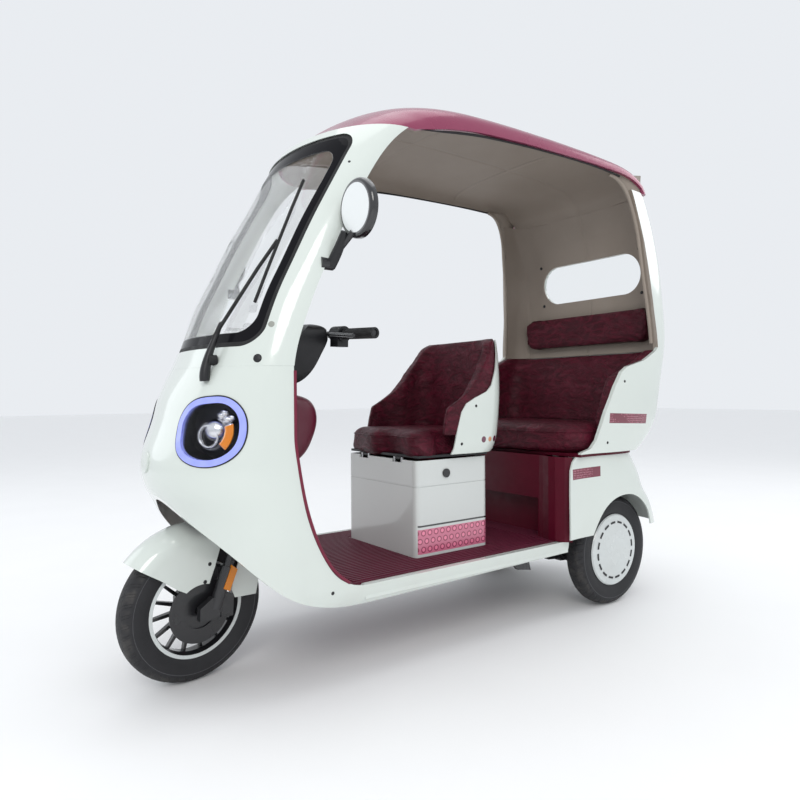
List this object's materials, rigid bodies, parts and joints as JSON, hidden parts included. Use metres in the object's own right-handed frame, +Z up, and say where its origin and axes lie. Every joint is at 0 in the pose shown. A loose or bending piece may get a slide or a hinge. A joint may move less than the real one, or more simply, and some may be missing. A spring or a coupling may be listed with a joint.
{
  "type": "electric canopy tricycle",
  "caption": "Three-wheeled electric passenger vehicle with a canopy roof, curved windscreen, driver seat on a box and a rear bench, steered front wheel.",
  "frame": {"origin": "on the ground, under the middle of the vehicle", "axes": "+X to the left of the vehicle, +Y to its rear, +Z up; the front wheel is at -Y"},
  "size_m": [0.999, 2.0917, 1.763],
  "materials": {
    "white_body": "gloss",
    "burgundy_roof": "gloss",
    "beige_trim": "satin",
    "burgundy_trim": "satin",
    "burgundy_mat": "matte",
    "burgundy_cover": "satin",
    "black_plastic": "satin",
    "black_metal": "satin",
    "clear_glass": "polished",
    "seal_rubber": "matte",
    "tyre_rubber": "matte",
    "white_cover": "gloss",
    "lamp_glow": "polished",
    "amber": "polished",
    "red_lens": "polished",
    "chrome": "polished",
    "steel": "brushed",
    "mirror": "polished"
  },
  "bodies": {
    "vehicle": {"battery_pack": "black_plastic", "bench_base": "burgundy_trim", "chassis_frame": "black_metal", "column_cover": "burgundy_trim", "dash_shelf": "burgundy_trim", "floor_mat": "burgundy_mat", "front_fairing": "white_body", "headlamp_bowls": "black_plastic", "headlamp_lenses": "clear_glass", "headlamp_projectors": "chrome", "headlamp_rings": "lamp_glow", "leaf_springs": "black_metal", "leg_shield": "burgundy_trim", "mirror_arms": "black_metal", "mirror_glasses": "mirror", "mirror_heads": "black_plastic", "nose_button": "white_body", "plate_holder": "black_metal", "rear_axle": "black_metal", "rear_body": "white_body", "rear_deck": "burgundy_trim", "rear_headrest": "burgundy_cover", "rear_seat_back": "burgundy_cover", "rear_seat_cushion": "burgundy_cover", "rear_shell": "white_body", "rear_trim_panel": "beige_trim", "rear_window": "clear_glass", "roof_cap": "burgundy_roof", "roof_liner": "beige_trim", "seat_box": "white_body", "seat_box_lock": "black_metal", "seat_hinge_pins": "steel", "tail_lamps": "red_lens", "windscreen_frame": "white_body", "windscreen_glass": "clear_glass", "windscreen_seal": "seal_rubber", "wiper": "black_plastic"},
    "front_end": {"fork": "black_metal", "handlebar": "black_metal", "handlebar_grips": "seal_rubber", "switch_pods": "black_plastic", "brake_levers": "black_metal", "instrument_cowl": "black_plastic", "front_fender": "white_body", "brake_caliper": "black_metal", "fork_reflectors": "amber"},
    "front_wheel": {"front_tyre": "tyre_rubber", "front_rim": "black_metal", "front_brake_disc": "steel"},
    "rear_left_wheel": {"rear_left_tyre": "tyre_rubber", "rear_left_rim": "black_metal", "rear_left_cover": "white_cover"},
    "rear_right_wheel": {"rear_right_tyre": "tyre_rubber", "rear_right_rim": "black_metal", "rear_right_cover": "white_cover"},
    "driver_seat": {"driver_seat_shell": "white_body", "driver_seat_back": "burgundy_cover", "driver_seat_cushion": "burgundy_cover", "driver_seat_pan": "black_plastic"}
  },
  "joints": [
    {"name": "steering", "type": "hinge", "parent": "vehicle", "child": "front_end", "pos_m": [0, -0.68505, 0.56093], "axis": [0, 0.3256, 0.9455], "range_deg": [-42, 26]},
    {"name": "front_wheel_spin", "type": "hinge", "parent": "front_end", "child": "front_wheel", "pos_m": [0.00383, -0.83375, 0.21291], "axis": [0.9903, 0.1316, -0.0453], "continuous": true},
    {"name": "rear_left_spin", "type": "hinge", "parent": "vehicle", "child": "rear_left_wheel", "pos_m": [0.308, 0.707, 0.213], "axis": [1, 0, 0], "continuous": true},
    {"name": "rear_right_spin", "type": "hinge", "parent": "vehicle", "child": "rear_right_wheel", "pos_m": [-0.308, 0.707, 0.213], "axis": [1, 0, 0], "continuous": true},
    {"name": "driver_seat_tilt", "type": "hinge", "parent": "vehicle", "child": "driver_seat", "pos_m": [0, -0.155, 0.607], "axis": [1, 0, 0], "range_deg": [0, 32]}
  ]
}
